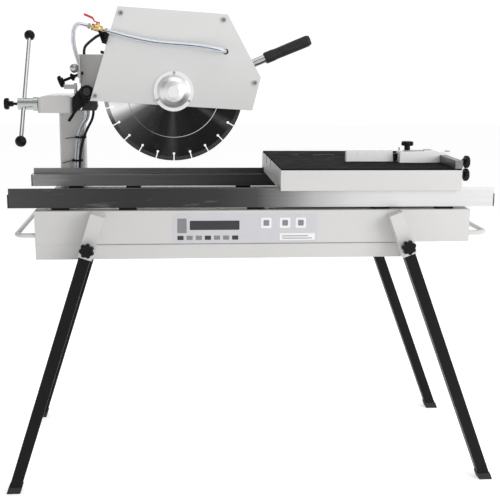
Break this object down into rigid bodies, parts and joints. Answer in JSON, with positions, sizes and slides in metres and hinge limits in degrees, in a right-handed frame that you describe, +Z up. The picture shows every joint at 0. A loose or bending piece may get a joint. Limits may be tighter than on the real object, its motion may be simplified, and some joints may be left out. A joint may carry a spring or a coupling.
{
  "type": "masonry saw",
  "caption": "Stone saw on legs: water tank, twin rails, rolling table with fence, and a tilting, plunging guarded blade head with motor, valve and hoses.",
  "frame": {"origin": "on the floor under the middle of the machine's outline", "axes": "+X along the rails to the right, away from the saw column; +Y from the front of the machine to its back; +Z up"},
  "size_m": [1.3532, 0.662, 1.2707],
  "materials": {
    "powder_coat": "light warm-grey powder coat, slightly textured",
    "guard_paint": "smooth light powder coat",
    "black_paint": "black satin paint",
    "black_oxide": "oiled black steel",
    "black_plastic": "black moulded plastic",
    "rail_dark": "drawn aluminium, satin",
    "rail_mid": "drawn aluminium, satin",
    "cast_black": "black painted casting",
    "chrome": "bright plated steel",
    "steel": "turned steel",
    "zinc": "zinc plated",
    "blade_steel": "ground steel disc with a sintered rim",
    "grey_plastic": "dark grey moulded plastic",
    "white_plastic": "white moulded plastic",
    "clear_hose": "clear soft tube with a faint blue tint",
    "black_rubber": "black rubber sheath",
    "ribbed_rubber": "black ribbed rubber sheet",
    "brass": "machined brass",
    "red_plastic": "red coated lever",
    "motor_paint": "grey painted aluminium casting",
    "stator_iron": "lacquered laminations"
  },
  "bodies": {
    "base": {"tank": "powder_coat", "leg_sockets": "powder_coat", "carry_handles": "powder_coat", "rail_front": "rail_dark", "rail_back": "rail_mid", "rail_caps_and_spacers": "black_plastic", "column": "powder_coat", "head_beam": "powder_coat", "pump": "black_plastic", "hose_lower": "clear_hose", "cable_lower": "black_rubber", "cable_ties": "black_plastic"},
    "drain_plug": {"drain_plug": "black_plastic"},
    "tilt_head": {"tilt_yoke": "cast_black", "pivot_axle": "black_oxide", "torsion_spring": "black_oxide", "hose_duct": "grey_plastic"},
    "saw_head": {"swing_arm": "powder_coat", "guard_rear": "guard_paint", "guard_front": "guard_paint", "guard_screws": "zinc", "hub_cover": "chrome", "motor_housing": "motor_paint", "motor_stator": "stator_iron", "fan_cover": "black_plastic", "switch_box": "black_plastic", "handle_tube": "steel", "handle_grip": "black_plastic", "valve_body": "brass", "valve_bracket": "zinc", "hose_loop": "clear_hose", "hose_guard": "clear_hose", "cable_upper": "black_rubber"},
    "blade_set": {"blade": "blade_steel", "blade_flanges": "steel", "spindle": "steel"},
    "valve_lever": {"valve_lever": "red_plastic"},
    "depth_screw": {"depth_screw": "black_plastic"},
    "power_switch": {"power_switch": "red_plastic"},
    "tee_hub": {"tee_hub": "chrome"},
    "tee_rod": {"tee_rod": "chrome"},
    "end_knob": {"end_knob": "black_plastic"},
    "table": {"table_tray": "powder_coat", "rubber_mat": "ribbed_rubber", "fence_rail": "rail_dark"},
    "wheelset_left": {"wheelset_left": "steel"},
    "wheelset_right": {"wheelset_right": "steel"},
    "fence": {"fence_carriage": "white_plastic"},
    "fence_stop": {"fence_stop": "white_plastic"},
    "fence_stop_knob": {"fence_stop_knob": "black_plastic"},
    "fence_lock_knob": {"fence_lock_knob": "black_plastic"},
    "table_lock_knob": {"table_lock_knob": "black_plastic"},
    "leg_front_left": {"leg_front_left": "black_paint"},
    "leg_knob_front_left": {"leg_knob_front_left": "black_plastic"},
    "leg_front_right": {"leg_front_right": "black_paint"},
    "leg_knob_front_right": {"leg_knob_front_right": "black_plastic"},
    "leg_rear_left": {"leg_rear_left": "black_paint"},
    "leg_knob_rear_left": {"leg_knob_rear_left": "black_plastic"},
    "leg_rear_right": {"leg_rear_right": "black_paint"},
    "leg_knob_rear_right": {"leg_knob_rear_right": "black_plastic"}
  },
  "joints": [
    {"name": "drain_plug_turn", "type": "hinge", "parent": "base", "child": "drain_plug", "pos_m": [-0.50259, -0.171, 0.625], "axis": [0, 0, 1], "range_deg": [0, 330]},
    {"name": "table_slide", "type": "slide", "parent": "base", "child": "table", "axis": [1, 0, 0], "range_m": [-0.68, 0.06]},
    {"name": "roller_turn_left", "type": "hinge", "parent": "table", "child": "wheelset_left", "pos_m": [0.15391, -0.021, 0.8057], "axis": [0, 1, 0], "range_deg": [-2700, 300]},
    {"name": "roller_turn_right", "type": "hinge", "parent": "table", "child": "wheelset_right", "pos_m": [0.47901, -0.021, 0.8057], "axis": [0, 1, 0], "range_deg": [-2700, 300]},
    {"name": "head_tilt", "type": "hinge", "parent": "base", "child": "tilt_head", "pos_m": [-0.48259, 0.129, 0.9995], "axis": [-1, 0, 0], "range_deg": [0, 45], "deforming": ["hose_lower", "cable_lower"]},
    {"name": "head_plunge", "type": "hinge", "parent": "tilt_head", "child": "saw_head", "pos_m": [-0.43759, 0.129, 1.037], "axis": [0, 1, 0], "range_deg": [-13, 0], "deforming": ["hose_loop", "cable_upper", "torsion_spring"]},
    {"name": "blade_spin", "type": "hinge", "parent": "saw_head", "child": "blade_set", "pos_m": [-0.19159, 0.079, 1.0416], "axis": [0, 1, 0], "continuous": true},
    {"name": "valve_turn", "type": "hinge", "parent": "saw_head", "child": "valve_lever", "pos_m": [-0.39989, 0.021, 1.2113], "axis": [0.2419, 0, 0.9703], "range_deg": [0, 90]},
    {"name": "depth_screw_turn", "type": "hinge", "parent": "saw_head", "child": "depth_screw", "pos_m": [-0.45059, 0.129, 1.0888], "axis": [-0.9272, 0, -0.3746], "range_deg": [-720, 720]},
    {"name": "power_switch_rock", "type": "hinge", "parent": "saw_head", "child": "power_switch", "pos_m": [-0.15459, 0.224, 1.143], "axis": [0, 1, 0], "range_deg": [-14, 0]},
    {"name": "tee_turn", "type": "hinge", "parent": "base", "child": "tee_hub", "pos_m": [-0.62159, 0.129, 0.9995], "axis": [1, 0, 0], "range_deg": [-90, 180]},
    {"name": "tee_rod_slide", "type": "slide", "parent": "tee_hub", "child": "tee_rod", "axis": [0, 0.6401, 0.7683], "range_m": [-0.22, 0.095]},
    {"name": "end_knob_turn", "type": "hinge", "parent": "tee_hub", "child": "end_knob", "pos_m": [-0.67659, 0.129, 0.9995], "axis": [1, 0, 0], "range_deg": [-360, 360]},
    {"name": "leg_slide_front_left", "type": "slide", "parent": "base", "child": "leg_front_left", "axis": [-0.3047, 0, -0.9525], "range_m": [0, 0.1]},
    {"name": "leg_knob_turn_front_left", "type": "hinge", "parent": "base", "child": "leg_knob_front_left", "pos_m": [-0.41301, -0.306, 0.65828], "axis": [0, 1, 0], "range_deg": [-360, 360]},
    {"name": "leg_slide_front_right", "type": "slide", "parent": "base", "child": "leg_front_right", "axis": [0.3555, 0, -0.9347], "range_m": [0, 0.1]},
    {"name": "leg_knob_turn_front_right", "type": "hinge", "parent": "base", "child": "leg_knob_front_right", "pos_m": [0.40741, -0.306, 0.65988], "axis": [0, 1, 0], "range_deg": [-360, 360]},
    {"name": "leg_slide_rear_left", "type": "slide", "parent": "base", "child": "leg_rear_left", "axis": [-0.3047, 0, -0.9525], "range_m": [0, 0.1]},
    {"name": "leg_knob_turn_rear_left", "type": "hinge", "parent": "base", "child": "leg_knob_rear_left", "pos_m": [-0.41301, 0.264, 0.65828], "axis": [0, 1, 0], "range_deg": [-360, 360]},
    {"name": "leg_slide_rear_right", "type": "slide", "parent": "base", "child": "leg_rear_right", "axis": [0.3555, 0, -0.9347], "range_m": [0, 0.1]},
    {"name": "leg_knob_turn_rear_right", "type": "hinge", "parent": "base", "child": "leg_knob_rear_right", "pos_m": [0.40741, 0.264, 0.65988], "axis": [0, 1, 0], "range_deg": [-360, 360]},
    {"name": "fence_slide", "type": "slide", "parent": "table", "child": "fence", "axis": [0, 1, 0], "range_m": [-0.105, 0.15]},
    {"name": "fence_stop_slide", "type": "slide", "parent": "fence", "child": "fence_stop", "axis": [1, 0, 0], "range_m": [-0.09, 0.0115]},
    {"name": "fence_stop_knob_turn", "type": "hinge", "parent": "fence", "child": "fence_stop_knob", "pos_m": [0.44941, -0.102, 0.9], "axis": [0, 0, 1], "range_deg": [-360, 360]},
    {"name": "fence_lock_knob_turn", "type": "hinge", "parent": "table", "child": "fence_lock_knob", "pos_m": [0.55741, -0.264, 0.8745], "axis": [1, 0, 0], "range_deg": [-360, 360]},
    {"name": "table_lock_knob_turn", "type": "hinge", "parent": "table", "child": "table_lock_knob", "pos_m": [0.55741, -0.264, 0.841], "axis": [1, 0, 0], "range_deg": [-360, 360]}
  ],
  "couplings": [
    {"joint": "roller_turn_left", "follows": "table_slide", "rad_per_m": 66.667},
    {"joint": "roller_turn_right", "follows": "table_slide", "rad_per_m": 66.667}
  ]
}
